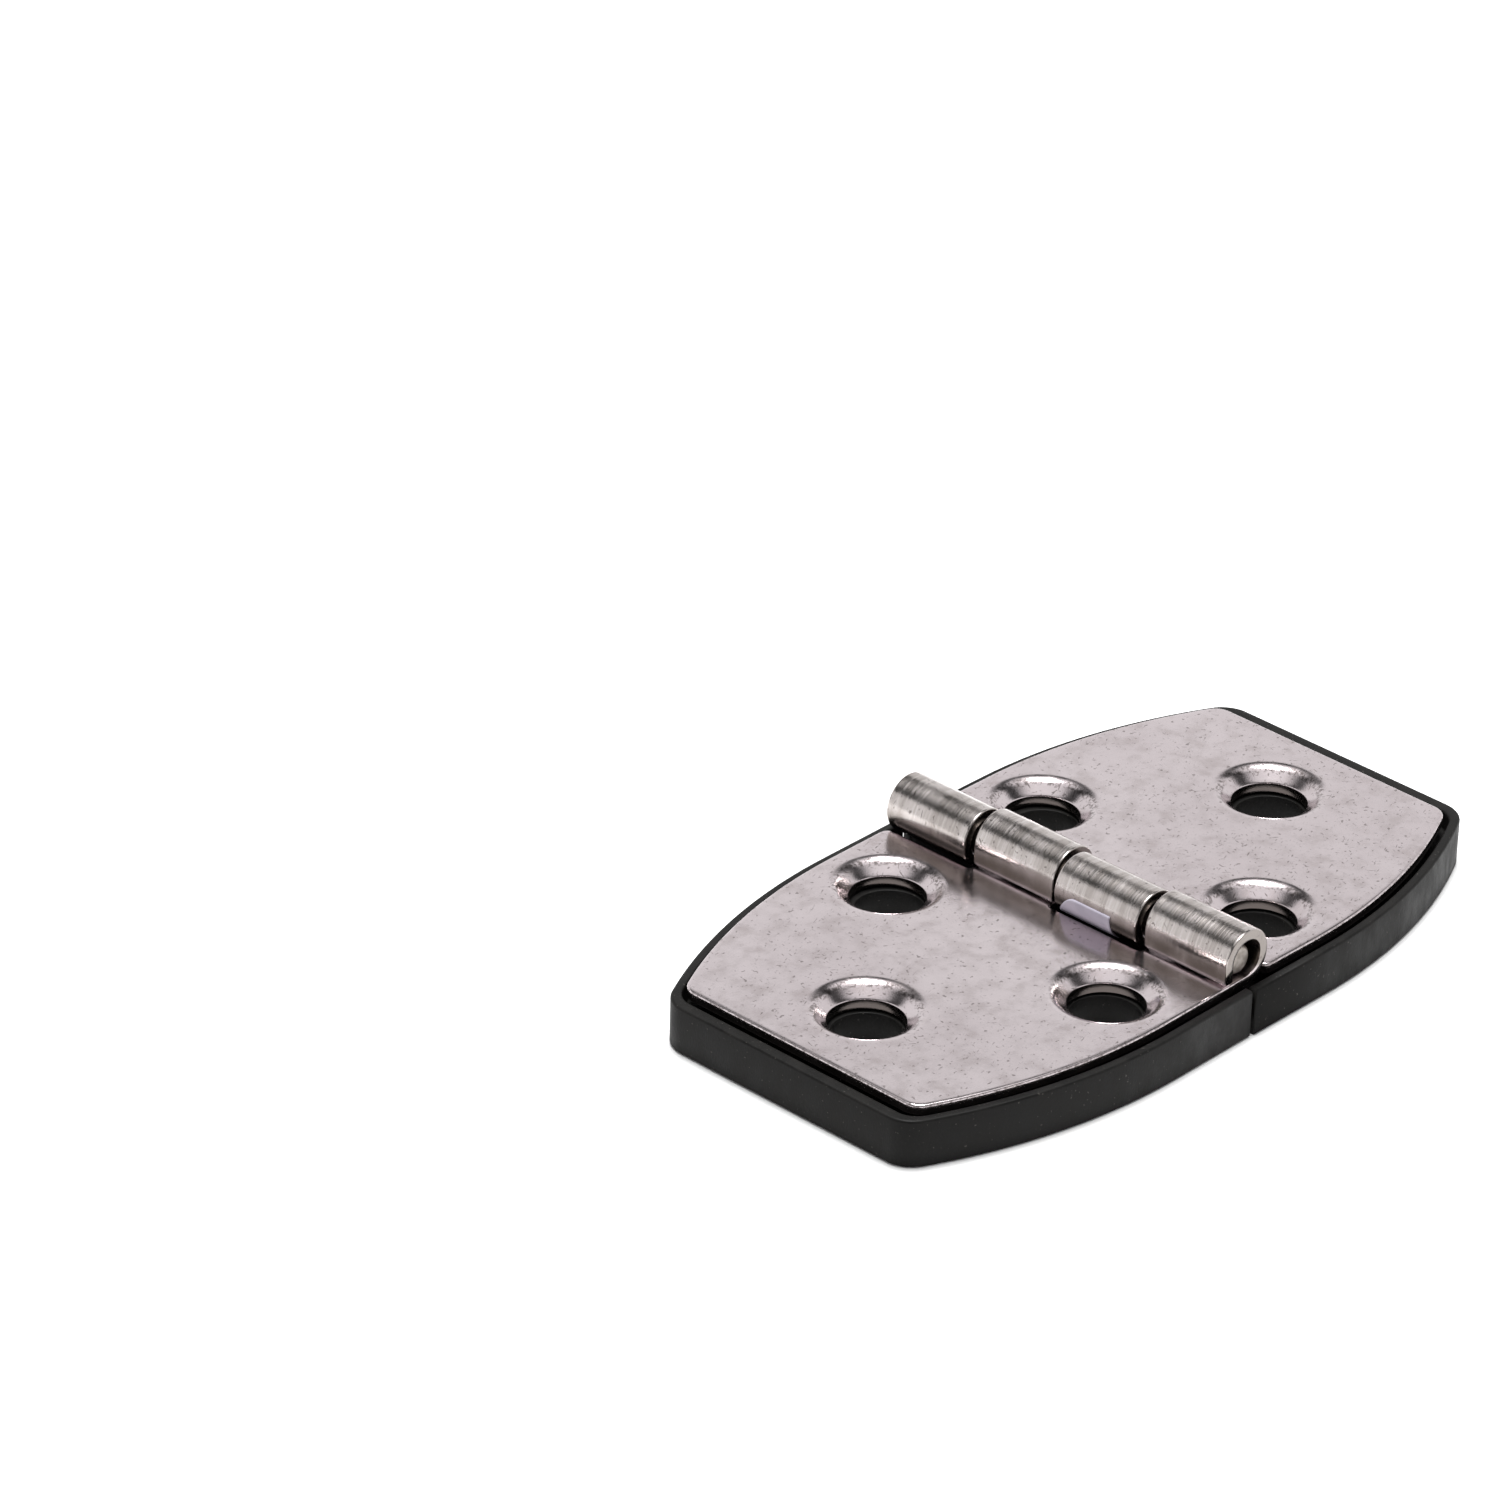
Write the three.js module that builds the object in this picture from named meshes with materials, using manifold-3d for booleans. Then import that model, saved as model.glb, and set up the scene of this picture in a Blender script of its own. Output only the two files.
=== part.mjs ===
// A surface-mounted door hinge, lying open and flat with its barrel up.
//
// Two leaves are cut and curled from one thickness of stainless sheet. Each leaf carries
// two of the barrel's four knuckles, and one plain pin runs through them all. Each leaf
// lies loose in a moulded backing pad, standing on the bulges of its pressed screw seats.
//
// Frame: millimetres, +Z up. The pin lies along Y, the right leaf reaches along +X and the
// left leaf along -X. The origin is on the plane the pads stand on, midway along the pin.
// Every shape is drawn as its right-hand copy; the left one is the same part turned
// half a turn about Z.

import * as THREE from "three";
import { mergeVertices } from "three/addons/utils/BufferGeometryUtils.js";
import Module from "manifold-3d";

// Leaf, in plan
const leafReach = 33.5; // pin axis to the straight outer edge
const leafHalfWidth = 18.4; // at the barrel
const taperStart = 9.6; // pin axis to where the parallel sides begin to curve in
const taperRadius = 52;
const leafCornerRadius = 1.8;
const notchReach = 2.7; // pin axis to the leaf's edge beside the other leaf's knuckles
const notchCornerRadius = 0.9;
const rightLeafSkew = THREE.MathUtils.degToRad(-0.7); // its plate is a little off square to its curls

// Sheet and barrel
const sheet = 0.9;
const curlRadius = 2.62;
const curlOffset = 0.3; // a curl's centre lies this far beyond the pin axis from its own leaf
const knuckleCount = 4;
const knuckleGap = 0.6;
const tailGap = 0.2; // between a knuckle's cut edge and the leaf it comes down to
const endPlay = -0.05; // how far the right leaf has slid along the pin

// Pin
const pinRadius = 1.3;
const pinChamfer = 0.2;
const pinRecess = 0.5; // each end, below the end knuckle's face
const pinDrop = 0.24; // how far the pin lies below the curls' centres

// Screw seats: a round hole at the bottom of a pressed dimple
const screwHoleRadius = 3.25;
const seatDepth = 1.1;
const seatSlope = THREE.MathUtils.degToRad(40);
const seatBlend = 1.5; // radius that blends the cone into the flat of the leaf
const innerSeat = { x: 9.6, y: 12 }; // the pair beside the barrel
const outerSeat = { x: 25.3, y: 0 };

// Backing pad
const padHeight = 4.35;
const leafSink = 0.35; // how far the leaf's underside lies below the rim's top
const padSideRim = 0.85;
const padEndRim = 1.2;
const padSideMargin = 1.2; // pad's side beyond the leaf's
const padEndMargin = 1.85; // pad's end beyond the leaf's
const padSplit = 0.35; // pin axis to the pad's inner end
const recessDepth = 1.65;
const padHoleRadius = 3;
const padHoleInset = 0.2; // the pad's inner pair of holes is closer together than the leaf's
const leftPadSlide = -0.1; // how far each pad has slid along the pin
const rightPadSlide = -0.2;
const rightPadTurn = THREE.MathUtils.degToRad(-0.7);

// Facets
const taperSteps = 12;
const cornerSteps = 6;
const barrelSteps = 26;
const holeSteps = 32;
const blendSteps = 4;
const cutterReach = 5; // how far a cutting body runs past the piece it cuts

// Levels that follow from the sizes above
const leafBottom = padHeight - leafSink;
const leafTop = leafBottom + sheet;
const curlHeight = leafBottom + curlRadius;
const pinHeight = curlHeight - pinDrop;
const recessFloor = padHeight - recessDepth;
const barrelLength = 2 * leafHalfWidth;
const knuckleLength = (barrelLength - (knuckleCount - 1) * knuckleGap) / knuckleCount;

const steel = { color: 0xc9c4c6, roughness: 0.28, metalness: 1 };
const pinSteel = { color: 0x9c978f, roughness: 0.42, metalness: 1 };
const blackPlastic = { color: 0x262524, roughness: 0.62, metalness: 0 };

const wasm = await Module();
wasm.setup();

// A closed three.js geometry as a manifold solid.
function toSolid(geometry) {
  geometry.deleteAttribute("normal");
  geometry.deleteAttribute("uv");
  const merged = mergeVertices(geometry, 1e-4);
  const corners = [];
  for (let i = 0; i < merged.index.count; i += 3) {
    const [a, b, c] = [0, 1, 2].map((k) => merged.index.getX(i + k));
    const hasArea = a !== b && b !== c && c !== a; // a lathe's triangles on its axis have none
    if (hasArea) corners.push(a, b, c);
  }
  return new wasm.Manifold(
    new wasm.Mesh({
      numProp: 3,
      vertProperties: merged.attributes.position.array,
      triVerts: new Uint32Array(corners),
    }),
  );
}

// A manifold solid as a three.js geometry with flat facets.
function toGeometry(solid) {
  const mesh = solid.getMesh();
  const geometry = new THREE.BufferGeometry();
  geometry.setAttribute("position", new THREE.BufferAttribute(mesh.vertProperties, 3));
  geometry.setIndex(new THREE.BufferAttribute(mesh.triVerts, 1));
  const faceted = geometry.toNonIndexed();
  faceted.computeVertexNormals();
  return faceted;
}

// Points along an arc, both ends included. Angles are in radians.
function arc(centreX, centreY, radius, from, to, steps) {
  return Array.from({ length: steps + 1 }, (_, i) => {
    const angle = from + ((to - from) * i) / steps;
    return new THREE.Vector2(
      centreX + radius * Math.cos(angle),
      centreY + radius * Math.sin(angle),
    );
  });
}

function extrudeUp(points, bottom, top) {
  const shape = new THREE.Shape(points);
  const geometry = new THREE.ExtrudeGeometry(shape, { depth: top - bottom, bevelEnabled: false });
  return toSolid(geometry.translate(0, 0, bottom));
}

// A section drawn in X and Z, extruded along Y.
function extrudeAlongPin(points, fromY, toY) {
  const shape = new THREE.Shape(points);
  const geometry = new THREE.ExtrudeGeometry(shape, { depth: toY - fromY, bevelEnabled: false });
  return toSolid(geometry.rotateX(Math.PI / 2).translate(0, toY, 0));
}

// A profile of radius and height, revolved about a vertical line at place.
function revolve(profile, place) {
  const geometry = new THREE.LatheGeometry(profile, holeSteps);
  return toSolid(geometry.rotateX(Math.PI / 2).translate(place.x, place.y, 0));
}

function cylinder(place, radius, bottom, top) {
  const geometry = new THREE.CylinderGeometry(radius, radius, top - bottom, holeSteps);
  return toSolid(geometry.rotateX(Math.PI / 2).translate(place.x, place.y, (bottom + top) / 2));
}

// Half of the outline that the leaf, the pad and the pad's recess share, from the outer
// end to the barrel: a straight end, a round corner, a long arc and a parallel side.
function halfOutline(reach, halfWidth, radius, cornerRadius, innerX) {
  const taperCentreY = halfWidth - radius;
  const cornerX = reach - cornerRadius;
  const cornerY = taperCentreY + Math.sqrt((radius - cornerRadius) ** 2 - (cornerX - taperStart) ** 2);
  const meetAngle = Math.atan2(cornerY - taperCentreY, cornerX - taperStart);
  return [
    ...arc(cornerX, cornerY, cornerRadius, 0, meetAngle, cornerSteps),
    ...arc(taperStart, taperCentreY, radius, meetAngle, Math.PI / 2, taperSteps).slice(1),
    new THREE.Vector2(innerX, halfWidth),
  ];
}

// The same points mirrored in the X axis, in the opposite order.
function mirrored(points) {
  return points.map((point) => new THREE.Vector2(point.x, -point.y)).reverse();
}

function turned(points, angle) {
  const axis = new THREE.Vector2(0, 0);
  return points.map((point) => point.clone().rotateAround(axis, angle));
}

// The plate's outer edges turn by the skew, and its edge beside the barrel stays along the pin.
function leafOutline(skew) {
  const side = halfOutline(leafReach, leafHalfWidth, taperRadius, leafCornerRadius, notchReach);
  side.pop();
  const centreX = notchReach + notchCornerRadius;
  const centreY = leafHalfWidth - notchCornerRadius;
  const notch = arc(centreX, centreY, notchCornerRadius, Math.PI / 2, Math.PI, cornerSteps);
  return [...turned(side, skew), ...notch, ...mirrored(notch), ...turned(mirrored(side), skew)];
}

// An outline that stands the given margins beyond the leaf's.
function padOutline(sideMargin, endMargin, innerX) {
  const half = halfOutline(
    leafReach + endMargin,
    leafHalfWidth + sideMargin,
    taperRadius + sideMargin,
    leafCornerRadius + sideMargin,
    innerX,
  );
  return [...half, ...mirrored(half)];
}

// The dimple's upper surface from the hole's edge to the flat, at the given height of flat:
// a cone, then an arc that runs out level.
function seatCurve(flat) {
  const coneMeetsFlat = screwHoleRadius + seatDepth / Math.tan(seatSlope);
  const blendEnd = coneMeetsFlat + seatBlend * Math.tan(seatSlope / 2);
  const from = Math.PI / 2 + seatSlope;
  return [
    new THREE.Vector2(screwHoleRadius, flat - seatDepth),
    ...arc(blendEnd, flat - seatBlend, seatBlend, from, Math.PI / 2, blendSteps),
  ];
}

// The bulge under the leaf, and the hollow and hole cut into it from above.
function seatBulge(place) {
  const curve = seatCurve(leafBottom);
  const edge = curve.at(-1).x;
  const inside = leafBottom + sheet / 2;
  return revolve(
    [
      new THREE.Vector2(0, leafBottom - seatDepth),
      ...curve,
      new THREE.Vector2(edge, inside),
      new THREE.Vector2(0, inside),
    ],
    place,
  );
}

function seatHollow(place) {
  const curve = seatCurve(leafTop);
  const edge = curve.at(-1).x;
  const above = leafTop + cutterReach;
  return revolve(
    [
      new THREE.Vector2(0, recessFloor - cutterReach),
      new THREE.Vector2(screwHoleRadius, recessFloor - cutterReach),
      ...curve,
      new THREE.Vector2(edge, above),
      new THREE.Vector2(0, above),
    ],
    place,
  );
}

// One knuckle: the sheet passes under the pin, up its far side, over the top and straight
// down on the leaf's own side, where it ends just above the leaf.
function knuckle(fromY, toY) {
  const innerRadius = curlRadius - sheet;
  const tailEnd = leafTop + tailGap;
  const under = -Math.PI / 2;
  const round = -2 * Math.PI;
  const rootX = notchReach + notchCornerRadius;
  const section = [
    new THREE.Vector2(rootX, leafBottom),
    ...arc(-curlOffset, curlHeight, curlRadius, under, round, barrelSteps),
    new THREE.Vector2(curlRadius - curlOffset, tailEnd),
    new THREE.Vector2(innerRadius - curlOffset, tailEnd),
    ...arc(-curlOffset, curlHeight, innerRadius, round, under, barrelSteps),
    new THREE.Vector2(rootX, leafTop),
  ];
  return extrudeAlongPin(section, fromY, toY);
}

const seats = [
  new THREE.Vector2(innerSeat.x, innerSeat.y),
  new THREE.Vector2(innerSeat.x, -innerSeat.y),
  new THREE.Vector2(outerSeat.x, outerSeat.y),
];

function leafGeometry(skew) {
  let leaf = extrudeUp(leafOutline(skew), leafBottom, leafTop);
  for (let i = 0; i < knuckleCount; i += 2) {
    const toY = leafHalfWidth - i * (knuckleLength + knuckleGap);
    leaf = leaf.add(knuckle(toY - knuckleLength, toY));
  }
  const places = turned(seats, skew);
  for (const place of places) leaf = leaf.add(seatBulge(place));
  for (const place of places) leaf = leaf.subtract(seatHollow(place));
  return toGeometry(leaf);
}

// The tray that a leaf lies in. Its recess runs out open under the barrel.
function padGeometry() {
  let pad = extrudeUp(padOutline(padSideMargin, padEndMargin, padSplit), 0, padHeight);
  const recessInnerX = padSplit - cutterReach;
  const recess = padOutline(padSideMargin - padSideRim, padEndMargin - padEndRim, recessInnerX);
  pad = pad.subtract(extrudeUp(recess, recessFloor, padHeight + cutterReach));
  for (const seat of seats) {
    const hole = { x: seat.x, y: seat.y - Math.sign(seat.y) * padHoleInset };
    pad = pad.subtract(cylinder(hole, padHoleRadius, -cutterReach, padHeight + cutterReach));
  }
  return toGeometry(pad);
}

// A plain turned pin with a small chamfer at each end.
function pinGeometry() {
  const half = leafHalfWidth - pinRecess;
  const profile = [
    new THREE.Vector2(0, -half),
    new THREE.Vector2(pinRadius - pinChamfer, -half),
    new THREE.Vector2(pinRadius, -half + pinChamfer),
    new THREE.Vector2(pinRadius, half - pinChamfer),
    new THREE.Vector2(pinRadius - pinChamfer, half),
    new THREE.Vector2(0, half),
  ];
  return new THREE.LatheGeometry(profile, holeSteps);
}

function piece(name, geometry, finish) {
  const mesh = new THREE.Mesh(geometry, new THREE.MeshStandardMaterial(finish));
  mesh.name = name;
  return mesh;
}

const rightLeaf = piece("right_leaf", leafGeometry(rightLeafSkew), steel);
rightLeaf.position.y = endPlay;
const leftLeaf = piece("left_leaf", leafGeometry(0), steel);
leftLeaf.rotation.z = Math.PI;

const pad = padGeometry();
const rightPad = piece("right_backing_pad", pad, blackPlastic);
rightPad.rotation.z = rightPadTurn;
rightPad.position.y = rightPadSlide;
const leftPad = piece("left_backing_pad", pad, blackPlastic);
leftPad.rotation.z = Math.PI;
leftPad.position.y = leftPadSlide;

const pin = piece("hinge_pin", pinGeometry(), pinSteel);
pin.position.z = pinHeight;

const hinge = new THREE.Group();
hinge.add(leftLeaf, rightLeaf, pin, leftPad, rightPad);

export default hinge;
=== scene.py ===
"""A door hinge lying open and flat: two stainless leaves curled round one pin, and two black pads.

Sizes are in millimetres until a mesh is made, when they become metres. Each leaf and each pad is
drawn as its right-hand copy, and the left one is turned half a turn about Z.
"""

import math

import bpy
import numpy as np
from mathutils import Matrix, Vector
from mathutils.geometry import delaunay_2d_cdt


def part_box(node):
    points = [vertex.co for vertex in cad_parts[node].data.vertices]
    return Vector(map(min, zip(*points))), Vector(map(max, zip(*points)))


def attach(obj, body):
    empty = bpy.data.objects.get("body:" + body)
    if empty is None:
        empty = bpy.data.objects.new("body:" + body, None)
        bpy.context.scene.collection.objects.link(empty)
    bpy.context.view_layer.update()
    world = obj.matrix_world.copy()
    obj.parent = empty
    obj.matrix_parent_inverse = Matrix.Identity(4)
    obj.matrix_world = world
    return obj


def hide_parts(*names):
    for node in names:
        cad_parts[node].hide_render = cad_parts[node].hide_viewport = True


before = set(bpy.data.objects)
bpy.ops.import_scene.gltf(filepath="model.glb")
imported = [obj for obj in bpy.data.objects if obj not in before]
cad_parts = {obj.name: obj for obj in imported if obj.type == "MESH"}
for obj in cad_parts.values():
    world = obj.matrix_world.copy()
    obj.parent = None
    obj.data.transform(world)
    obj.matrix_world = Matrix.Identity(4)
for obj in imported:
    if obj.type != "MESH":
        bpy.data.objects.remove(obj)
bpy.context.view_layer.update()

MM = 0.001
HALF_TURN = math.pi
QUARTER_TURN = math.pi / 2


def cad_box_mm(node):
    low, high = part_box(node)
    return low / MM, high / MM


leaf_low, leaf_high = cad_box_mm("left_leaf")
pad_low, pad_high = cad_box_mm("left_backing_pad")
pin_low, pin_high = cad_box_mm("hinge_pin")

# Leaf, in plan
LEAF_REACH = -leaf_low.x
LEAF_HALF_WIDTH = leaf_high.y
RIGHT_LEAF_SLIDE = cad_box_mm("right_leaf")[1].y - LEAF_HALF_WIDTH
RIGHT_LEAF_SKEW = math.radians(-0.7)  # the right plate is a little off square to its curls
TAPER_START = 9.6
TAPER_RADIUS = 52.0
LEAF_CORNER = 1.8
NOTCH_REACH = 2.7
NOTCH_CORNER = 0.9
NOTCH_ROOT = 0.25  # radius where a knuckle's side meets the notch

# Sheet and barrel
SHEET = 0.9
CURL_OFFSET = 0.3  # a curl's centre lies this far beyond the pin axis from its own leaf
CURL_RADIUS = leaf_high.x - CURL_OFFSET
CURL_HEIGHT = leaf_high.z - CURL_RADIUS
LEAF_BOTTOM = CURL_HEIGHT - CURL_RADIUS
LEAF_TOP = LEAF_BOTTOM + SHEET
KNUCKLE_GAP = 0.6
KNUCKLE_LENGTH = (2 * LEAF_HALF_WIDTH - 3 * KNUCKLE_GAP) / 4
TAIL_GAP = 0.2  # between a knuckle's cut edge and the leaf it comes down to
TAIL_LENGTH = CURL_HEIGHT - LEAF_TOP - TAIL_GAP
CURL_ANGLE = 3 * QUARTER_TURN
CURL_STEPS = 45
WORN_EDGE = 0.2  # rounding of the leaf's upper edge
CURL_EDGE = 0.12  # rounding of the curls' outer edges
BURR_EDGE = 0.04  # rounding of the edges on the other face of the sheet

# Screw seats
HOLE_RADIUS = 3.25
HOLE_EDGE = 0.07
SEAT_DEPTH = 1.1
SEAT_SLOPE = math.radians(40)
SEAT_BLEND = 1.5
SEATS = [(9.6, 12.0), (9.6, -12.0), (25.3, 0.0)]
HOLE_STEPS = 72

# Backing pad
PAD_REACH = -pad_low.x
PAD_SPLIT = -pad_high.x
PAD_HALF_WIDTH = (pad_high.y - pad_low.y) / 2
LEFT_PAD_SLIDE = (pad_high.y + pad_low.y) / 2
RIGHT_PAD_SLIDE = -0.2
RIGHT_PAD_TURN = math.radians(-0.7)
PAD_HEIGHT = pad_high.z
PAD_MARGIN = PAD_HALF_WIDTH - LEAF_HALF_WIDTH
PAD_SIDE_RIM = 0.85
PAD_END_RIM = 1.2
PAD_DRAFT = 0.03
PAD_EDGE = 0.22
PAD_FLOOR_EDGE = 0.12  # rounding where the rim meets the recess floor
PAD_HOLE_EDGE = 0.1
RECESS_FLOOR = PAD_HEIGHT - 1.65
PAD_HOLE_RADIUS = 3.0
PAD_HOLE_INSET = 0.2

# Scrap of film caught under the third knuckle
FILM_THICKNESS = 0.05
FILM_LIFT = 0.03
FILM_TIP = -0.55  # along the pin, its pointed end
FILM_ROUND_END = -2.6
FILM_END = -6.4
FILM_TIP_DIP = math.radians(41)
FILM_HIGH = math.radians(-5)
FILM_LOW = math.radians(62)


def arc(centre_x, centre_y, radius, start, end, steps):
    angles = np.linspace(start, end, steps + 1)
    return [(centre_x + radius * math.cos(a), centre_y + radius * math.sin(a)) for a in angles]


def round_over(radius, steps=4):
    """(inset from an edge, drop below the flat) at each step of a quarter-round edge."""
    angles = np.linspace(0, QUARTER_TURN, steps + 1)
    return [(radius * (1 - math.cos(a)), radius * (1 - math.sin(a))) for a in angles]


def edge_drop(inset, radius):
    """How far a quarter-round edge of that radius is below the flat, at that inset."""
    if inset >= radius:
        return 0.0
    return radius - math.sqrt(radius**2 - (radius - inset) ** 2)


def turned(point, angle):
    x, y = point
    return x * math.cos(angle) - y * math.sin(angle), x * math.sin(angle) + y * math.cos(angle)


def half_outline(reach, half_width, taper_radius, corner):
    """From the outer end round the corner and along the taper, to where the parallel side starts."""
    centre_y = half_width - taper_radius
    corner_x = reach - corner
    corner_y = centre_y + math.sqrt((taper_radius - corner) ** 2 - (corner_x - TAPER_START) ** 2)
    meet = math.atan2(corner_y - centre_y, corner_x - TAPER_START)
    round_corner = arc(corner_x, corner_y, corner, 0, meet, 10)
    taper = arc(TAPER_START, centre_y, taper_radius, meet, QUARTER_TURN, 28)
    return round_corner + taper[1:]


def mirrored(points):
    """The same points across the X axis, in the opposite order."""
    return [(x, -y) for x, y in reversed(points)]


def inset_loop(points, distance):
    """A closed anticlockwise outline moved inwards, with mitred corners."""
    here = np.array(points)
    ahead = np.roll(here, -1, axis=0) - here
    ahead /= np.linalg.norm(ahead, axis=1)[:, None]
    normal = np.stack([-ahead[:, 1], ahead[:, 0]], axis=1)
    before = np.roll(normal, 1, axis=0)
    mitre = (normal + before) / (1 + np.sum(normal * before, axis=1))[:, None]
    return [tuple(p) for p in here + distance * mitre]


class Slab:
    """A closed solid between an upper and a lower height, given line by line over one plan."""

    def __init__(self):
        self.plan = []
        self.upper = []
        self.lower = []
        self.edges = []
        self.rims = []

    def line(self, points, upper, lower, closed=True):
        """Adds a line of points with their upper and lower heights, and gives their numbers."""
        first = len(self.plan)
        numbers = list(range(first, first + len(points)))
        self.plan += points
        self.upper += np.broadcast_to(upper, len(points)).tolist()
        self.lower += np.broadcast_to(lower, len(points)).tolist()
        self.edges += list(zip(numbers, numbers[1:]))
        if closed:
            self.edges.append((numbers[-1], numbers[0]))
        return numbers

    def inside(self, spots):
        """Which spots are within an odd number of rims."""
        odd = np.zeros(len(spots), bool)
        for rim in self.rims:
            corners = np.array([self.plan[i] for i in rim])
            for a, b in zip(corners, np.roll(corners, -1, axis=0)):
                spans = (a[1] > spots[:, 1]) != (b[1] > spots[:, 1])
                rise = b[1] - a[1] or 1.0
                crossing = a[0] + (spots[:, 1] - a[1]) * (b[0] - a[0]) / rise
                odd ^= spans & (spots[:, 0] < crossing)
        return odd

    def triangles(self):
        plan = [Vector(p) for p in self.plan]
        made = delaunay_2d_cdt(plan, self.edges, [], 0, 1e-6, True)
        faces, sources = made[2], made[3]
        faces = np.array([[sources[i][0] for i in face] for face in faces])
        centres = np.array(self.plan)[faces].mean(axis=1)
        return faces[self.inside(centres)]

    def mesh(self, name, shape):
        """The mesh in metres, with every point placed by shape(x, y, z)."""
        count = len(self.plan)
        points = [shape(x, y, z) for (x, y), z in zip(self.plan, self.upper)]
        points += [shape(x, y, z) for (x, y), z in zip(self.plan, self.lower)]
        tops = self.triangles()
        faces = [tuple(f) for f in tops.tolist()]
        faces += [tuple(i + count for i in reversed(f)) for f in tops.tolist()]
        for rim in self.rims:
            for a, b in zip(rim, rim[1:] + rim[:1]):
                faces.append((a, a + count, b + count, b))
        return mesh_of(name, np.array(points) * MM, faces)


def mesh_of(name, points, faces):
    mesh = bpy.data.meshes.new(name)
    mesh.from_pydata([tuple(p) for p in points], [], faces)
    mesh.validate()
    mesh.shade_smooth()
    return mesh


# Leaves

SEAT_CONE_END = HOLE_RADIUS + SEAT_DEPTH / math.tan(SEAT_SLOPE)
SEAT_BLEND_END = SEAT_CONE_END + SEAT_BLEND * math.tan(SEAT_SLOPE / 2)
SEAT_BLEND_START = SEAT_BLEND_END - SEAT_BLEND * math.sin(SEAT_SLOPE)
CURL_LENGTH = CURL_ANGLE * (CURL_RADIUS - SHEET / 2)
GUARD = 0.25  # a line this far inside a rounded edge keeps the flat beyond it flat when shaded
SEAT_GUARD = 0.12  # the same round a screw seat, kept clear of the leaf's own line


def seat_drop(radius):
    """How far the screw seat is below the leaf's flat, at that distance from the hole's centre."""
    if radius >= SEAT_BLEND_END:
        return 0.0
    if radius <= SEAT_BLEND_START:
        return SEAT_DEPTH - (radius - HOLE_RADIUS) * math.tan(SEAT_SLOPE)
    return SEAT_BLEND - math.sqrt(SEAT_BLEND**2 - (SEAT_BLEND_END - radius) ** 2)


def knuckle_stations():
    """Distances from the pin axis along a knuckle's tab of flat sheet, from its root to its end."""
    curl = np.linspace(-CURL_OFFSET, -CURL_OFFSET - CURL_LENGTH, CURL_STEPS + 1)
    return [NOTCH_REACH - 1.0, curl[0] + GUARD, *curl, curl[-1] - GUARD, curl[-1] - TAIL_LENGTH]


def blank_outline(skew):
    """The leaf's outline as cut from flat sheet, and the pairs of points across each knuckle."""
    side = half_outline(LEAF_REACH, LEAF_HALF_WIDTH, TAPER_RADIUS, LEAF_CORNER)
    stations = knuckle_stations()
    points = [turned(p, skew) for p in side]
    across = []

    def add_tab(high, low):
        first = len(points)
        points.extend((u, high) for u in stations)
        points.extend((u, low) for u in reversed(stations))
        last = len(points) - 1
        across.extend((first + k, last - k) for k in range(len(stations) - 1))

    def add_root(y, side_of_tab):
        centre_x = NOTCH_REACH - NOTCH_ROOT
        centre_y = y + side_of_tab * NOTCH_ROOT
        root = arc(centre_x, centre_y, NOTCH_ROOT, -side_of_tab * QUARTER_TURN, 0, 3)
        points.extend(root if side_of_tab < 0 else reversed(root))

    pitch = KNUCKLE_LENGTH + KNUCKLE_GAP
    add_tab(LEAF_HALF_WIDTH, LEAF_HALF_WIDTH - KNUCKLE_LENGTH)
    add_root(LEAF_HALF_WIDTH - KNUCKLE_LENGTH, -1)
    add_root(LEAF_HALF_WIDTH - 2 * pitch, 1)
    add_tab(LEAF_HALF_WIDTH - 2 * pitch, LEAF_HALF_WIDTH - 2 * pitch - KNUCKLE_LENGTH)
    add_root(LEAF_HALF_WIDTH - 2 * pitch - KNUCKLE_LENGTH, -1)
    free_x = NOTCH_REACH + NOTCH_CORNER
    free_y = -LEAF_HALF_WIDTH + NOTCH_CORNER
    points.extend(arc(free_x, free_y, NOTCH_CORNER, HALF_TURN, 3 * QUARTER_TURN, 8))
    points.extend(turned(p, skew) for p in mirrored(side))
    return points, across


def curl(x, y, z):
    """Bends a knuckle's flat sheet round the pin, then straight down to its end."""
    travel = -CURL_OFFSET - x
    if travel <= 0:
        return x, y, z
    radius = CURL_RADIUS - (z - LEAF_BOTTOM)
    if travel <= CURL_LENGTH:
        angle = -QUARTER_TURN - CURL_ANGLE * travel / CURL_LENGTH
        return radius * math.cos(angle) - CURL_OFFSET, y, CURL_HEIGHT + radius * math.sin(angle)
    return radius - CURL_OFFSET, y, CURL_HEIGHT - (travel - CURL_LENGTH)


def placed(angle, slide):
    """Puts a right-hand copy's points where its piece lies."""

    def shape(x, y, z):
        world_x, world_y = turned((x, y), angle)
        return world_x, world_y + slide, z

    return shape


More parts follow.
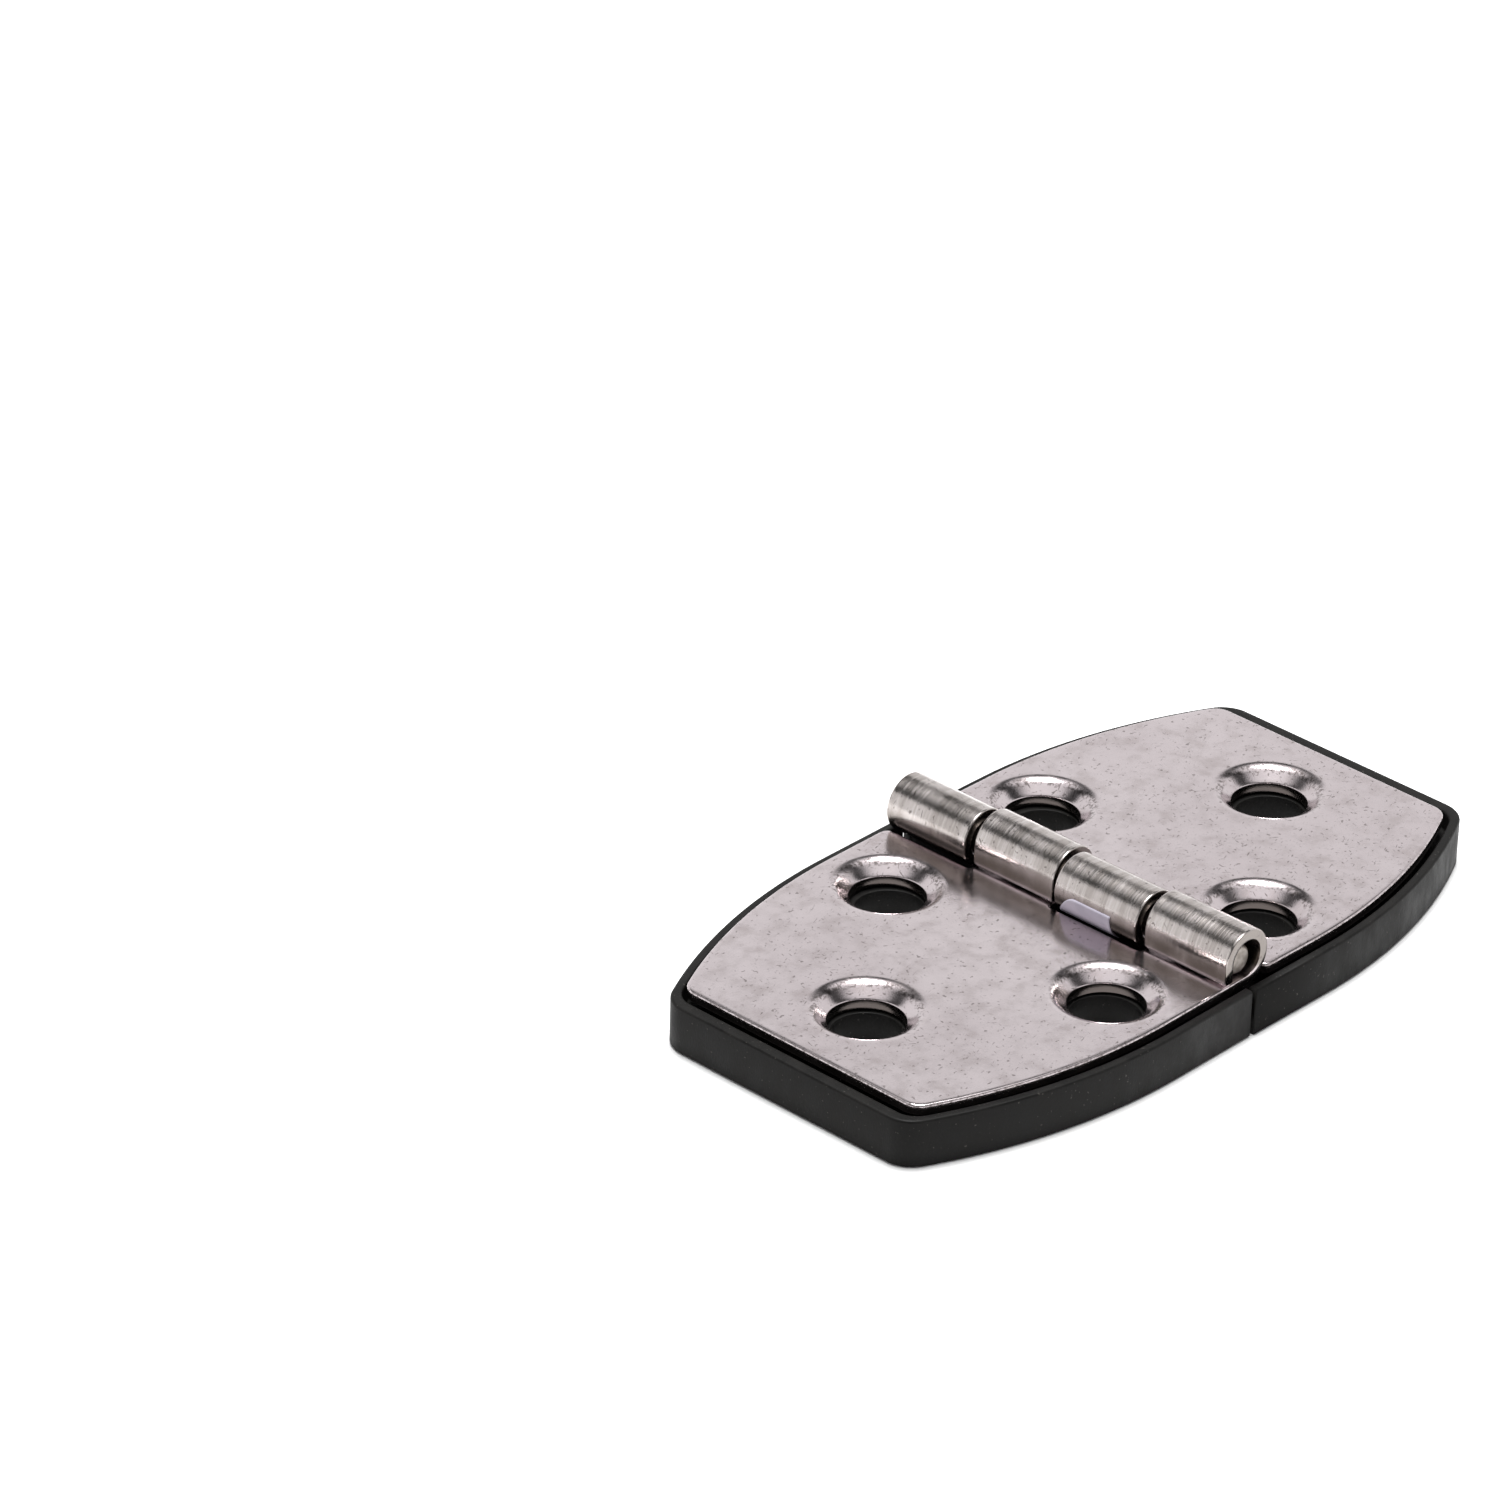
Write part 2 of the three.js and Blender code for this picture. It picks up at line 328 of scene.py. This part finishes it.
def leaf_mesh(name, slide, angle, skew):
    slab = Slab()
    outline, across = blank_outline(skew)
    in_tab = np.clip([1 - x / NOTCH_REACH for x, _ in outline], 0, 1)
    insets = [inset for inset, _ in round_over(WORN_EDGE)] + [WORN_EDGE + GUARD]
    for inset in insets:
        burred = edge_drop(inset, BURR_EDGE)
        upper = LEAF_TOP - edge_drop(inset, WORN_EDGE) * (1 - in_tab) - burred * in_tab
        lower = LEAF_BOTTOM + edge_drop(inset, CURL_EDGE) * in_tab + burred * (1 - in_tab)
        numbers = slab.line(inset_loop(outline, inset), upper, lower)
        if inset == 0:
            slab.rims.append(numbers)
    slab.edges += [(numbers[a], numbers[b]) for a, b in across]

    edge_rings = [HOLE_RADIUS + inset for inset, _ in round_over(HOLE_EDGE)]
    cone_rings = list(np.linspace(HOLE_RADIUS + HOLE_EDGE, SEAT_BLEND_START, 5)[1:])
    blend_rings = list(np.linspace(SEAT_BLEND_START, SEAT_BLEND_END, 10)[1:])
    for centre in [turned(seat, skew) for seat in SEATS]:
        for radius in [*edge_rings, *cone_rings, *blend_rings, SEAT_BLEND_END + SEAT_GUARD]:
            ring = arc(*centre, radius, 0, 2 * HALF_TURN, HOLE_STEPS)[:-1]
            inset = radius - HOLE_RADIUS
            drop = seat_drop(radius)
            upper = LEAF_TOP - drop - edge_drop(inset, HOLE_EDGE)
            lower = LEAF_BOTTOM - drop + edge_drop(inset, BURR_EDGE)
            numbers = slab.line(ring, upper, lower)
            if inset == 0:
                slab.rims.append(numbers[::-1])

    put = placed(angle, slide)
    return slab.mesh(name, lambda x, y, z: put(*curl(x, y, z)))


# Backing pads


def pad_path(inset):
    """The pad's outline at that inset, from its inner end round the outer end and back."""
    end_inset = inset * PAD_END_RIM / PAD_SIDE_RIM
    half_width = PAD_HALF_WIDTH - inset
    side = half_outline(
        PAD_REACH - end_inset,
        half_width,
        TAPER_RADIUS + PAD_MARGIN - inset,
        LEAF_CORNER + PAD_MARGIN - inset,
    )
    return [(PAD_SPLIT, -half_width), *mirrored(side), *side[1:], (PAD_SPLIT, half_width)]


def pad_section():
    """(inset from the side, upper height) over the pad's rim and down into its recess."""
    outer = [(inset, PAD_HEIGHT - drop) for inset, drop in round_over(PAD_EDGE)]
    inner = [(PAD_SIDE_RIM - inset, height) for inset, height in reversed(outer)]
    foot = PAD_SIDE_RIM + PAD_DRAFT
    rounding = round_over(PAD_FLOOR_EDGE, 2)
    floor = [(foot + inset, RECESS_FLOOR + drop) for inset, drop in rounding]
    return [*outer, *inner, *floor, (foot + PAD_FLOOR_EDGE + GUARD, RECESS_FLOOR)]


def pad_mesh(name, slide, angle):
    slab = Slab()
    paths = []
    for inset, upper in pad_section():
        lower = edge_drop(inset, PAD_EDGE)
        paths.append(slab.line(pad_path(inset), upper, lower, closed=False))
    end_down = [path[-1] for path in paths[1:]]
    end_up = [path[0] for path in reversed(paths[1:])]
    rim = [*paths[0], *end_down, *end_up]
    slab.rims.append(rim)
    slab.edges += list(zip(rim, rim[1:] + rim[:1]))
    for x, y in SEATS:
        centre_y = y - math.copysign(PAD_HOLE_INSET, y) if y else 0.0
        insets = [inset for inset, _ in round_over(PAD_HOLE_EDGE, 3)]
        for inset in [*insets, PAD_HOLE_EDGE + GUARD]:
            ring = arc(x, centre_y, PAD_HOLE_RADIUS + inset, 0, 2 * HALF_TURN, HOLE_STEPS)[:-1]
            drop = edge_drop(inset, PAD_HOLE_EDGE)
            numbers = slab.line(ring, RECESS_FLOOR - drop, drop)
            if inset == 0:
                slab.rims.append(numbers[::-1])

    return slab.mesh(name, placed(angle, slide))


# Pin


def pin_mesh(name):
    """A round bar along Y with a small chamfer and a slightly domed face at each end."""
    centre = (pin_low + pin_high) / 2
    radius = (pin_high.z - pin_low.z) / 2
    half = (pin_high.y - pin_low.y) / 2
    # (radius, drop from the end) from the flat middle out over the dome and the chamfer
    end = [(0.35 * radius, 0.0), (radius - 0.3, 0.02), (radius - 0.2, 0.05), (radius - 0.03, 0.22)]
    profile = [(r, half - drop) for r, drop in end]
    profile += [(radius, half - 0.3), (radius, half - 1.0), (radius, 1.0 - half), (radius, 0.3 - half)]
    profile += [(r, drop - half) for r, drop in reversed(end)]
    steps = 64
    points = []
    for ring_radius, y in profile:
        for k in range(steps):
            angle = 2 * HALF_TURN * k / steps
            x = centre.x + ring_radius * math.cos(angle)
            z = centre.z + ring_radius * math.sin(angle)
            points.append((x * MM, (centre.y + y) * MM, z * MM))
    faces = []
    for ring in range(len(profile) - 1):
        for k in range(steps):
            a = ring * steps + k
            b = ring * steps + (k + 1) % steps
            faces.append((a, b, b + steps, a + steps))
    last = (len(profile) - 1) * steps
    faces.append(tuple(reversed(range(steps))))
    faces.append(tuple(range(last, last + steps)))
    return mesh_of(name, points, faces)


# Film


def film_top(y):
    """How far round the knuckle the film's upper edge is below the barrel's mid height, in radians."""
    rounding = max(0.0, (y - FILM_ROUND_END) / (FILM_TIP - FILM_ROUND_END))
    return FILM_HIGH + (FILM_TIP_DIP - FILM_HIGH) * rounding**2


def film_mesh(name):
    """A thin sheet lying on the left side of the third knuckle and tucked in under it."""
    slab = Slab()
    columns = []
    for y in np.linspace(FILM_END, FILM_TIP, 25):
        dips = np.linspace(FILM_LOW, film_top(y), 15)
        column = [(y, dip * CURL_RADIUS) for dip in dips]
        columns.append(slab.line(column, FILM_THICKNESS, 0.0, closed=False))
    upper_edge = [column[-1] for column in columns[1:]]
    lower_edge = [column[0] for column in reversed(columns[1:-1])]
    rim = [*columns[0], *upper_edge, *reversed(columns[-1][:-1]), *lower_edge]
    slab.rims.append(rim)
    slab.edges += list(zip(rim, rim[1:] + rim[:1]))

    def shape(y, along, height):
        radius = CURL_RADIUS + FILM_LIFT + height
        dip = along / CURL_RADIUS
        x = -CURL_OFFSET - radius * math.cos(dip)
        return x, y + RIGHT_LEAF_SLIDE, CURL_HEIGHT - radius * math.sin(dip)

    return slab.mesh(name, shape)


def place(name, mesh, body, material):
    piece = bpy.data.objects.new(name, mesh)
    bpy.context.scene.collection.objects.link(piece)
    piece.data.materials.append(material)
    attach(piece, body)
    return piece


def place_instead(node, slot, *piece_facts):
    """Places a piece that stands for a node of the frame."""
    piece = place(*piece_facts)
    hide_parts(node)


# Materials


class Nodes:
    """Short names for building one material's nodes."""

    def __init__(self, name):
        self.material = bpy.data.materials.new(name)
        self.material.use_nodes = True
        self.tree = self.material.node_tree
        self.shader = self.tree.nodes["Principled BSDF"]
        coordinates = self.tree.nodes.new("ShaderNodeTexCoord")
        self.object_space = coordinates.outputs["Object"]
        self.normal = coordinates.outputs["Normal"]

    def link(self, value, socket):
        if isinstance(value, bpy.types.NodeSocket):
            self.tree.links.new(value, socket)
        else:
            socket.default_value = value

    def stretched(self, x, y, z, turn=0.0):
        """Object coordinates turned about Z, then multiplied, in cycles per metre."""
        mapping = self.tree.nodes.new("ShaderNodeMapping")
        mapping.vector_type = "TEXTURE"
        mapping.inputs["Rotation"].default_value = (0, 0, turn)
        mapping.inputs["Scale"].default_value = (1 / x, 1 / y, 1 / z)
        self.link(self.object_space, mapping.inputs["Vector"])
        return mapping.outputs["Vector"]

    def noise(self, vector, scale=1.0, detail=3.0, roughness=0.5, distortion=0.0):
        node = self.tree.nodes.new("ShaderNodeTexNoise")
        self.link(vector, node.inputs["Vector"])
        self.link(scale, node.inputs["Scale"])
        self.link(detail, node.inputs["Detail"])
        self.link(roughness, node.inputs["Roughness"])
        self.link(distortion, node.inputs["Distortion"])
        return node.outputs["Fac"]

    def ramp(self, value, low, high, out_low=0.0, out_high=1.0):
        """Maps low..high to out_low..out_high smoothly, clamped."""
        node = self.tree.nodes.new("ShaderNodeMapRange")
        node.interpolation_type = "SMOOTHSTEP"
        self.link(value, node.inputs["Value"])
        self.link(low, node.inputs["From Min"])
        self.link(high, node.inputs["From Max"])
        self.link(out_low, node.inputs["To Min"])
        self.link(out_high, node.inputs["To Max"])
        return node.outputs["Result"]

    def math(self, operation, a, b=0.0):
        node = self.tree.nodes.new("ShaderNodeMath")
        node.operation = operation
        self.link(a, node.inputs[0])
        self.link(b, node.inputs[1])
        return node.outputs["Value"]

    def mix(self, factor, a, b):
        node = self.tree.nodes.new("ShaderNodeMix")
        node.data_type = "RGBA"
        self.link(factor, node.inputs["Factor"])
        self.link(a, node.inputs["A"])
        self.link(b, node.inputs["B"])
        return node.outputs["Result"]

    def height(self):
        """The point's height in millimetres."""
        node = self.tree.nodes.new("ShaderNodeSeparateXYZ")
        self.link(self.object_space, node.inputs["Vector"])
        return self.math("MULTIPLY", node.outputs["Z"], 1 / MM)

    def facing_along_pin(self):
        """One on faces square to the pin, such as a knuckle's cut ends, and nought elsewhere."""
        node = self.tree.nodes.new("ShaderNodeSeparateXYZ")
        self.link(self.normal, node.inputs["Vector"])
        return self.ramp(self.math("ABSOLUTE", node.outputs["Y"]), 0.75, 0.95)

    def bump(self, height, strength, distance, under=None):
        node = self.tree.nodes.new("ShaderNodeBump")
        self.link(strength, node.inputs["Strength"])
        self.link(distance, node.inputs["Distance"])
        self.link(height, node.inputs["Height"])
        if under is not None:
            self.link(under, node.inputs["Normal"])
        return node.outputs["Normal"]

    def surface(self, **sockets):
        for name, value in sockets.items():
            self.link(value, self.shader.inputs[name.replace("_", " ")])
        return self.material


def leaf_steel():
    """Bright rolled sheet with handling marks, brushed round the curls, with painted shade low on the
    barrel, on the knuckles' cut ends and in the screw holes, and a painted dark reflection round each
    screw seat.
    """
    n = Nodes("satin stainless sheet")
    in_barrel = n.ramp(n.height(), LEAF_TOP + 0.15, LEAF_TOP + 0.7)
    below_flat = n.ramp(n.height(), LEAF_TOP - 0.12, LEAF_TOP - 0.01, 1.0, 0.0)
    above_cone = n.ramp(n.height(), LEAF_TOP - 0.55, LEAF_TOP - 0.35)
    in_blend = n.math("MULTIPLY", below_flat, above_cone)
    # Painted shade: the wall of each screw hole, below the seat, is darkened.
    painted_hole_shade = n.ramp(n.height(), LEAF_TOP - SEAT_DEPTH - 0.12, LEAF_TOP - SEAT_DEPTH, 1.0, 0.0)
    # Cut ends of the knuckles, darkened partly for their rougher sheared faces and partly as painted
    # shade in the gaps between knuckles.
    sheared_and_shaded_cut_end = n.math("MULTIPLY", n.facing_along_pin(), in_barrel)
    fine = n.noise(n.stretched(9000, 9000, 9000), detail=2.0)
    mottle = n.noise(n.stretched(420, 420, 420), detail=4.0, roughness=0.6)
    patches = n.noise(n.stretched(90, 90, 90), detail=2.0)
    streaks = n.noise(n.stretched(160, 4200, 160), detail=3.0, roughness=0.6)
    broad_streaks = n.noise(n.stretched(90, 900, 90), detail=2.0)

    sheet = n.mix(n.ramp(patches, 0.3, 0.7), (0.655, 0.59, 0.605, 1), (0.60, 0.535, 0.55, 1))
    sheet = n.mix(n.ramp(mottle, 0.45, 0.75, 0.0, 0.5), sheet, (0.43, 0.37, 0.365, 1))
    curls = n.mix(n.ramp(broad_streaks, 0.35, 0.65), (0.56, 0.515, 0.50, 1), (0.43, 0.39, 0.37, 1))
    curls = n.mix(n.ramp(streaks, 0.45, 0.7, 0.0, 0.4), curls, (0.72, 0.68, 0.66, 1))
    # Painted shade: the barrel is darkened low down, under its curve and in its crease with the leaf,
    # broken up by the mottle.
    low_on_barrel = n.ramp(n.height(), CURL_HEIGHT - 0.8, CURL_HEIGHT + 1.1, 0.95, 0.0)
    painted_low_barrel_shade = n.math("MULTIPLY", low_on_barrel, n.ramp(mottle, 0.2, 0.6, 0.7, 1.0))
    curls = n.mix(painted_low_barrel_shade, curls, (0.15, 0.128, 0.11, 1))
    # Darker cut ends: rougher sheared faces, plus painted shade in the gaps between knuckles.
    curls = n.mix(sheared_and_shaded_cut_end, curls, (0.24, 0.215, 0.20, 1))
    colour = n.mix(in_barrel, sheet, curls)

    specks = n.ramp(n.noise(n.stretched(2600, 2600, 2600), detail=2.0), 0.64, 0.72, 0.0, 0.7)
    marks = n.math("MULTIPLY", scratches(n), n.ramp(patches, 0.38, 0.6, 0.1, 0.9))
    # Painted dark reflection: dark mottling over the blend ring round each screw seat.
    painted_seat_reflection = n.ramp(n.noise(n.stretched(3000, 3000, 3000), detail=3.0, roughness=0.7), 0.45, 0.62)
    painted_seat_reflection = n.math("MULTIPLY", n.math("MULTIPLY", painted_seat_reflection, in_blend), 0.85)
    # Real specks and scratches, together with the painted dark reflection round the seats.
    dirt_and_painted_seat_reflection = n.math("MAXIMUM", n.math("MAXIMUM", specks, marks), painted_seat_reflection)
    colour = n.mix(dirt_and_painted_seat_reflection, colour, (0.16, 0.135, 0.13, 1))
    # Painted shade in the screw holes.
    colour = n.mix(painted_hole_shade, colour, (0.10, 0.085, 0.08, 1))

    smooth = n.ramp(mottle, 0.3, 0.7, 0.13, 0.22)
    roughness = n.math("ADD", smooth, n.math("MULTIPLY", in_barrel, 0.03))
    grain = n.bump(fine, 0.25, 0.00002)
    pressed = n.bump(mottle, n.math("MULTIPLY", in_blend, 0.35), 0.0001, under=grain)
    brushed = n.bump(streaks, n.math("MULTIPLY", in_barrel, 0.6), 0.00003, under=pressed)
    return n.surface(Base_Color=colour, Metallic=1.0, Roughness=roughness, Normal=brushed)


def scratches(n):
    """Short fine marks lying in three directions."""
    marks = 0.0
    for turn_deg, length, width in [(20, 900, 5200), (75, 1200, 6000), (140, 1000, 5600)]:
        lines = n.noise(n.stretched(length, width, 600, math.radians(turn_deg)), detail=1.0)
        marks = n.math("MAXIMUM", marks, n.ramp(lines, 0.69, 0.77))
    return marks


def pin_steel():
    n = Nodes("turned stainless rod")
    turning = n.noise(n.stretched(300, 6000, 300), detail=2.0)
    face = n.noise(n.stretched(2500, 2500, 2500), detail=3.0)
    colour = n.mix(n.ramp(face, 0.3, 0.7), (0.33, 0.30, 0.275, 1), (0.22, 0.195, 0.175, 1))
    normal = n.bump(turning, 0.3, 0.00003, under=n.bump(face, 0.4, 0.00004))
    return n.surface(Base_Color=colour, Metallic=1.0, Roughness=0.42, Normal=normal)


def black_plastic():
    n = Nodes("matte moulded plastic")
    grain = n.noise(n.stretched(6000, 6000, 2500), detail=3.0, roughness=0.6)
    scuff = n.noise(n.stretched(500, 500, 250), detail=4.0, roughness=0.65)
    dust = n.ramp(n.noise(n.stretched(3600, 3600, 3600), detail=1.0), 0.72, 0.78, 0.0, 0.35)
    colour = n.mix(n.ramp(scuff, 0.35, 0.75), (0.004, 0.0038, 0.0035, 1), (0.009, 0.0083, 0.0077, 1))
    colour = n.mix(dust, colour, (0.12, 0.11, 0.10, 1))
    roughness = n.ramp(scuff, 0.3, 0.7, 0.42, 0.6)
    normal = n.bump(grain, 0.5, 0.00004)
    return n.surface(Base_Color=colour, Roughness=roughness, Specular_IOR_Level=0.12, Normal=normal)


def protective_film():
    n = Nodes("thin pale film")
    cloud = n.noise(n.stretched(350, 500, 350), detail=3.0)
    wrinkles = n.noise(n.stretched(900, 300, 900), detail=2.0)
    colour = n.mix(n.ramp(cloud, 0.3, 0.7), (0.52, 0.49, 0.57, 1), (0.43, 0.41, 0.49, 1))
    return n.surface(Base_Color=colour, Roughness=0.35, Normal=n.bump(wrinkles, 0.3, 0.0001))


LEAF_STEEL = leaf_steel()

place_instead(
    "left_leaf",
    "leaf_steel",
    "leaf_left",
    leaf_mesh("leaf left", 0.0, HALF_TURN, 0.0),
    "fixed_side",
    LEAF_STEEL,
)
place_instead(
    "right_leaf",
    "leaf_steel",
    "leaf_right",
    leaf_mesh("leaf right", RIGHT_LEAF_SLIDE, 0.0, RIGHT_LEAF_SKEW),
    "swinging_side",
    LEAF_STEEL,
)
place_instead("hinge_pin", "pin_steel", "pin", pin_mesh("pin"), "fixed_side", pin_steel())

BLACK_PLASTIC = black_plastic()

place_instead(
    "left_backing_pad",
    "black_plastic",
    "pad_left",
    pad_mesh("pad left", LEFT_PAD_SLIDE, HALF_TURN),
    "fixed_side",
    BLACK_PLASTIC,
)
place_instead(
    "right_backing_pad",
    "black_plastic",
    "pad_right",
    pad_mesh("pad right", RIGHT_PAD_SLIDE, RIGHT_PAD_TURN),
    "swinging_side",
    BLACK_PLASTIC,
)
place("film_scrap", film_mesh("film scrap"), "swinging_side", protective_film())

# Floor, light and camera

FLOOR_HALF = 4.0


def floor():
    corners = [(-1, -1), (1, -1), (1, 1), (-1, 1)]
    level = -0.00002
    points = [(x * FLOOR_HALF, y * FLOOR_HALF, level) for x, y in corners]
    piece = bpy.data.objects.new("floor", mesh_of("floor", points, [(0, 1, 2, 3)]))
    bpy.context.scene.collection.objects.link(piece)
    n = Nodes("plain white floor")
    piece.data.materials.append(n.surface(Base_Color=(0.9, 0.9, 0.9, 1), Roughness=0.9))


def studio():
    """A white room, dim on the camera's side, with a dark band high on its walls and a bright ceiling."""
    world = bpy.data.worlds.new("studio")
    bpy.context.scene.world = world
    world.use_nodes = True
    tree = world.node_tree
    coordinates = tree.nodes.new("ShaderNodeTexCoord")
    split = tree.nodes.new("ShaderNodeSeparateXYZ")
    tree.links.new(coordinates.outputs["Generated"], split.inputs["Vector"])
    height = tree.nodes.new("ShaderNodeValToRGB")
    tree.links.new(split.outputs["Z"], height.inputs["Fac"])
    stops = [(0.0, 1.0), (0.56, 1.0), (0.64, 0.05), (0.77, 0.06), (0.88, 1.0)]
    while len(height.color_ramp.elements) < len(stops):
        height.color_ramp.elements.new(0.5)
    for element, (place_on_ramp, grey) in zip(height.color_ramp.elements, stops):
        element.position = place_on_ramp
        element.color = (grey, grey, grey, 1)
    depth = tree.nodes.new("ShaderNodeVectorMath")
    depth.operation = "DOT_PRODUCT"
    tree.links.new(coordinates.outputs["Generated"], depth.inputs[0])
    depth.inputs[1].default_value = (-math.sin(CAMERA_AZIMUTH), math.cos(CAMERA_AZIMUTH), 0)
    side = tree.nodes.new("ShaderNodeMapRange")
    side.interpolation_type = "SMOOTHSTEP"
    tree.links.new(depth.outputs["Value"], side.inputs["Value"])
    side.inputs["From Min"].default_value = -0.9
    side.inputs["From Max"].default_value = -0.4
    side.inputs["To Min"].default_value = 0.25
    side.inputs["To Max"].default_value = 1.0
    background = tree.nodes["Background"]
    tree.links.new(height.outputs["Color"], background.inputs["Color"])
    tree.links.new(side.outputs["Result"], background.inputs["Strength"])


def soft_light(name, position, size, power, target=(0, 0, 0)):
    light = bpy.data.lights.new(name, "AREA")
    light.shape = "DISK"
    light.size = size
    light.energy = power
    lamp = bpy.data.objects.new(name, light)
    lamp.location = position
    direction = Vector(target) - Vector(position)
    lamp.rotation_euler = direction.to_track_quat("-Z", "Y").to_euler()
    bpy.context.scene.collection.objects.link(lamp)


CAMERA_AZIMUTH = math.radians(-47.35)
CAMERA_ELEVATION = math.radians(29.55)
CAMERA_ROLL = math.radians(1.41)
CAMERA_DISTANCE = 0.5762
CAMERA_TARGET = Vector((0.0002, 0.037, 0.00375))
CAMERA_LENS = 160.1


def camera():
    level = math.cos(CAMERA_ELEVATION)
    forward = Vector((
        -math.sin(CAMERA_AZIMUTH) * level,
        math.cos(CAMERA_AZIMUTH) * level,
        -math.sin(CAMERA_ELEVATION),
    ))
    flat_right = Vector((math.cos(CAMERA_AZIMUTH), math.sin(CAMERA_AZIMUTH), 0))
    flat_up = flat_right.cross(forward)
    right = math.cos(CAMERA_ROLL) * flat_right + math.sin(CAMERA_ROLL) * flat_up
    up = math.cos(CAMERA_ROLL) * flat_up - math.sin(CAMERA_ROLL) * flat_right
    data = bpy.data.cameras.new("camera")
    data.lens = CAMERA_LENS
    data.sensor_width = 36.0
    data.clip_start = 0.01
    piece = bpy.data.objects.new("camera", data)
    bpy.context.scene.collection.objects.link(piece)
    turn = Matrix((right, up, -forward)).transposed()
    piece.matrix_world = Matrix.Translation(CAMERA_TARGET - forward * CAMERA_DISTANCE) @ turn.to_4x4()
    bpy.context.scene.camera = piece


floor()
studio()
soft_light("overhead", (0.1, 0.1, 1.2), 0.5, 22.0)
camera()
bpy.context.scene.view_settings.view_transform = "Standard"
